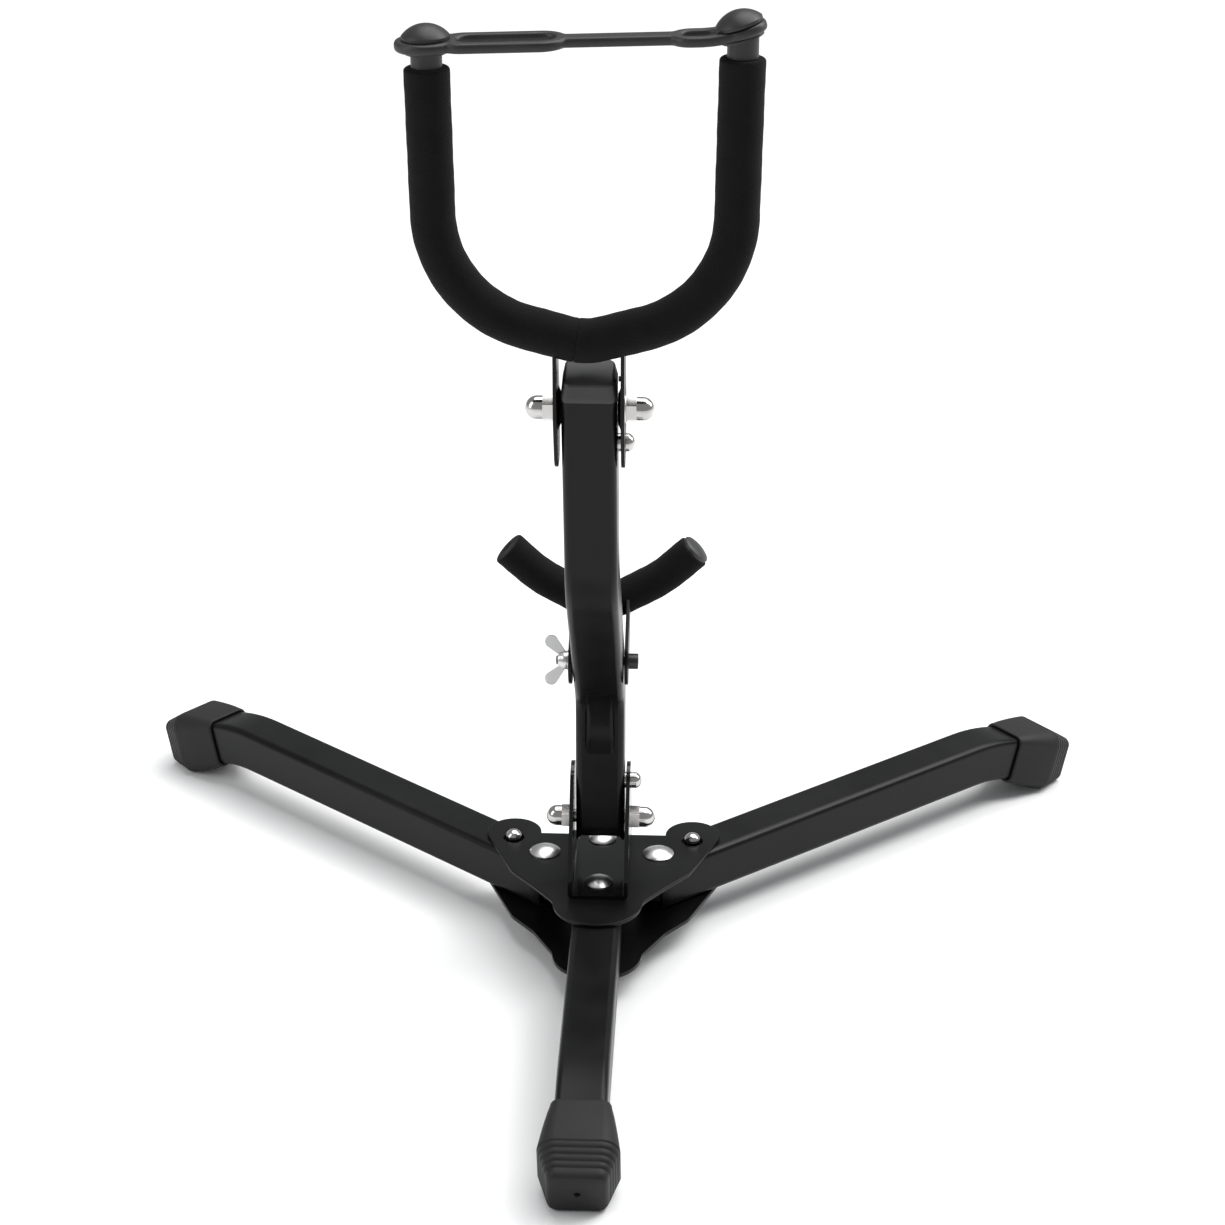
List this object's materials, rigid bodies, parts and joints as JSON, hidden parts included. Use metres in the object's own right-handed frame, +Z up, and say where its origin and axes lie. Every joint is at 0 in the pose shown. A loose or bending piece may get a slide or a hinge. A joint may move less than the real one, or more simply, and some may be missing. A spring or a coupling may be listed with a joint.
{
  "type": "folding saxophone stand",
  "caption": "Folding tripod saxophone stand: padded U yoke with rubber strap above, tilting padded cradle below, snap-button joints and rubber feet.",
  "frame": {"origin": "on the floor, midway between the extremes of the feet in X and in Y", "axes": "+Z up; -Y along the single front leg, towards the player; +X to the player's left when facing the stand's cradle side, which is the picture's right"},
  "size_m": [0.4704, 0.4083, 0.463],
  "materials": {
    "powder_black": "satin powder coat",
    "zinc": "bright zinc plating",
    "nickel": "polished nickel plating",
    "black_oxide": "black oxide",
    "spring_steel": "bare spring steel",
    "foot_rubber": "moulded matte rubber",
    "strap_rubber": "moulded matte rubber",
    "foam": "closed-cell foam sleeve, matte",
    "cap_plastic": "moulded plastic",
    "bush_plastic": "moulded plastic"
  },
  "bodies": {
    "base": {"upper_plate": "powder_black", "lower_plate": "powder_black", "column_bracket": "powder_black", "bracket_rivets": "zinc", "front_leg": "powder_black", "front_foot": "foot_rubber", "left_leg_rivet": "zinc", "right_leg_rivet": "zinc", "column_pivot_stud": "zinc", "column_pivot_nuts": "nickel"},
    "left_leg": {"left_leg": "powder_black", "left_foot": "foot_rubber", "left_leg_bush": "bush_plastic", "left_leg_spring": "spring_steel"},
    "right_leg": {"right_leg": "powder_black", "right_foot": "foot_rubber", "right_leg_bush": "bush_plastic", "right_leg_spring": "spring_steel"},
    "left_leg_button": {"left_leg_button": "nickel"},
    "right_leg_button": {"right_leg_button": "nickel"},
    "column": {"column": "powder_black", "column_cap": "cap_plastic", "column_pivot_bush": "bush_plastic", "yoke_pivot_bush": "bush_plastic", "yoke_pivot_stud": "zinc", "yoke_pivot_nuts": "nickel", "yoke_pivot_washers": "zinc", "column_button_spring": "spring_steel", "yoke_button_spring": "spring_steel", "cradle_bush": "bush_plastic"},
    "column_button": {"column_button": "nickel"},
    "yoke_button": {"yoke_button": "nickel"},
    "yoke": {"yoke_rod": "powder_black", "yoke_cheek_left": "powder_black", "yoke_cheek_right": "powder_black", "yoke_foam_left": "foam", "yoke_foam_right": "foam", "yoke_plug_left": "strap_rubber", "yoke_plug_right": "strap_rubber"},
    "strap": {"strap": "strap_rubber"},
    "cradle": {"cradle_rod": "powder_black", "cradle_cheek_left": "powder_black", "cradle_cheek_right": "powder_black", "cradle_foam_left": "foam", "cradle_foam_right": "foam", "cradle_end_cap": "cap_plastic", "cradle_bolt": "black_oxide", "cradle_washer": "zinc"},
    "wing_nut": {"wing_nut": "zinc"}
  },
  "joints": [
    {"name": "left_leg_swing", "type": "hinge", "parent": "base", "child": "left_leg", "pos_m": [-0.0265, 0.0278, 0.02555], "axis": [0, 0, 1], "range_deg": [0, 128], "deforming": ["left_leg_button"]},
    {"name": "right_leg_swing", "type": "hinge", "parent": "base", "child": "right_leg", "pos_m": [0.0265, 0.0278, 0.02555], "axis": [0, 0, -1], "range_deg": [0, 128], "deforming": ["right_leg_button"]},
    {"name": "column_fold", "type": "hinge", "parent": "base", "child": "column", "pos_m": [0, 0.0182, 0.0633], "axis": [1, 0, 0], "range_deg": [0, 66], "deforming": ["column_button"]},
    {"name": "yoke_fold", "type": "hinge", "parent": "column", "child": "yoke", "pos_m": [0, -0.0808, 0.3017], "axis": [-1, 0, 0], "range_deg": [0, 130], "deforming": ["yoke_button"]},
    {"name": "cradle_tilt", "type": "hinge", "parent": "column", "child": "cradle", "pos_m": [0, -0.0014, 0.1522], "axis": [1, 0, 0], "range_deg": [-40, 45]},
    {"name": "wing_nut_turn", "type": "hinge", "parent": "cradle", "child": "wing_nut", "pos_m": [-0.014, -0.0014, 0.1522], "axis": [-1, 0, 0], "continuous": true},
    {"name": "strap_swing", "type": "hinge", "parent": "yoke", "child": "strap", "pos_m": [-0.061, -0.0868, 0.4453], "axis": [-0.0345, 0, 0.9994], "range_deg": [0, 120], "deforming": ["strap"]},
    {"name": "left_leg_button_press", "type": "slide", "parent": "left_leg", "child": "left_leg_button", "axis": [0, 0, -1], "range_m": [0, 0.006], "stiffness_N_per_m": 250, "deforming": ["left_leg_spring"]},
    {"name": "right_leg_button_press", "type": "slide", "parent": "right_leg", "child": "right_leg_button", "axis": [0, 0, -1], "range_m": [0, 0.006], "stiffness_N_per_m": 250, "deforming": ["right_leg_spring"]},
    {"name": "column_button_press", "type": "slide", "parent": "column", "child": "column_button", "axis": [-1, 0, 0], "range_m": [0, 0.007], "stiffness_N_per_m": 250, "deforming": ["column_button_spring"]},
    {"name": "yoke_button_press", "type": "slide", "parent": "column", "child": "yoke_button", "axis": [-1, 0, 0], "range_m": [0, 0.0056], "stiffness_N_per_m": 250, "deforming": ["yoke_button_spring"]}
  ]
}
